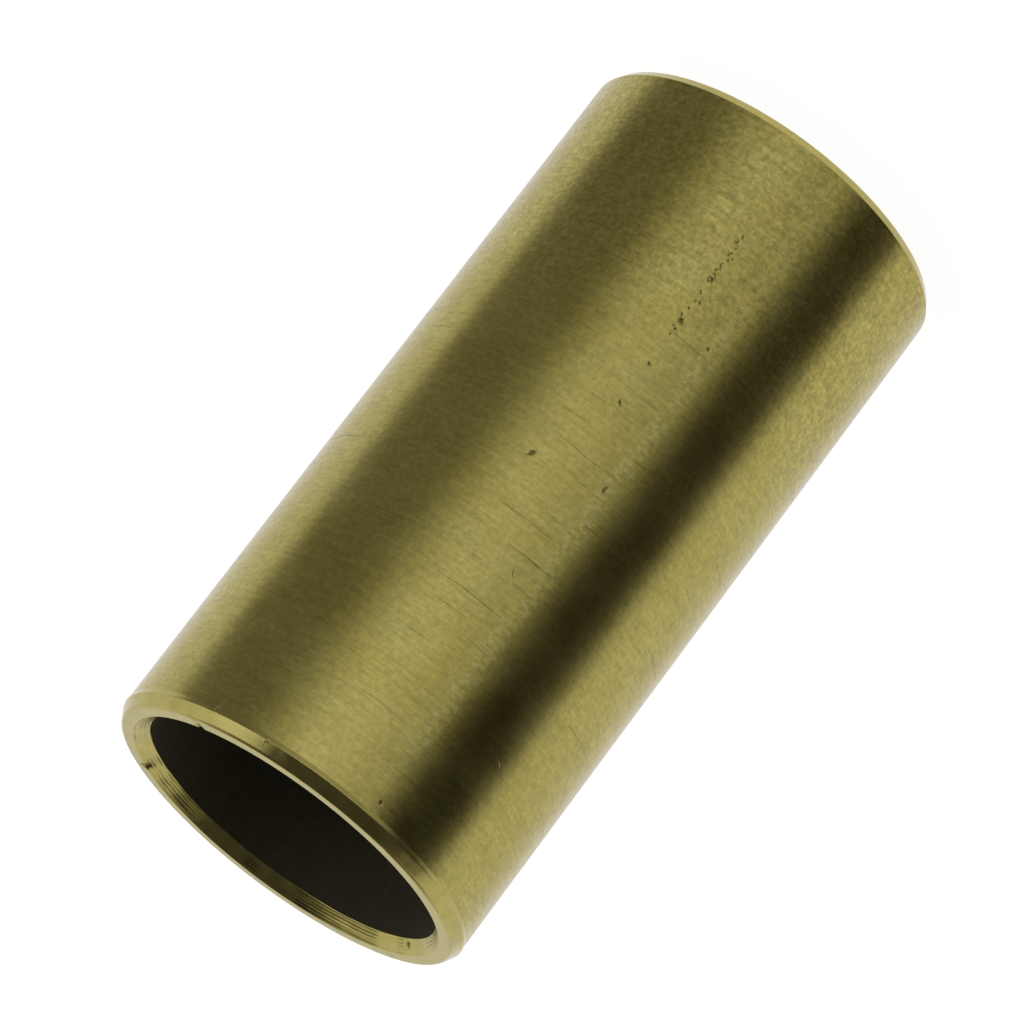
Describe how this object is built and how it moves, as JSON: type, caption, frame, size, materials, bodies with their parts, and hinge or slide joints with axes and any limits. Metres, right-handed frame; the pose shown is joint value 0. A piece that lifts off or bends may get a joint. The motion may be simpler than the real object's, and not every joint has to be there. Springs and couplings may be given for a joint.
{
  "type": "guitar slide",
  "caption": "Short thick-walled brass tube, open at both ends with chamfered rims, worn on a finger and slid along the strings of a guitar.",
  "frame": {"origin": "centre of the bore at the tail end's face, which the tube stands on", "axes": "+Z along the bore from the tail end to the mouth end, where the finger goes in; X and Y are any two directions across it, because the tube is round"},
  "size_m": [0.0252, 0.0252, 0.0513],
  "materials": {
    "brass": "bare turned brass, satin and lightly scratched round the barrel, bright on the cut rims, dark with oxide in the bore"
  },
  "bodies": {
    "root": {"slide_tube": "brass"}
  },
  "joints": []
}
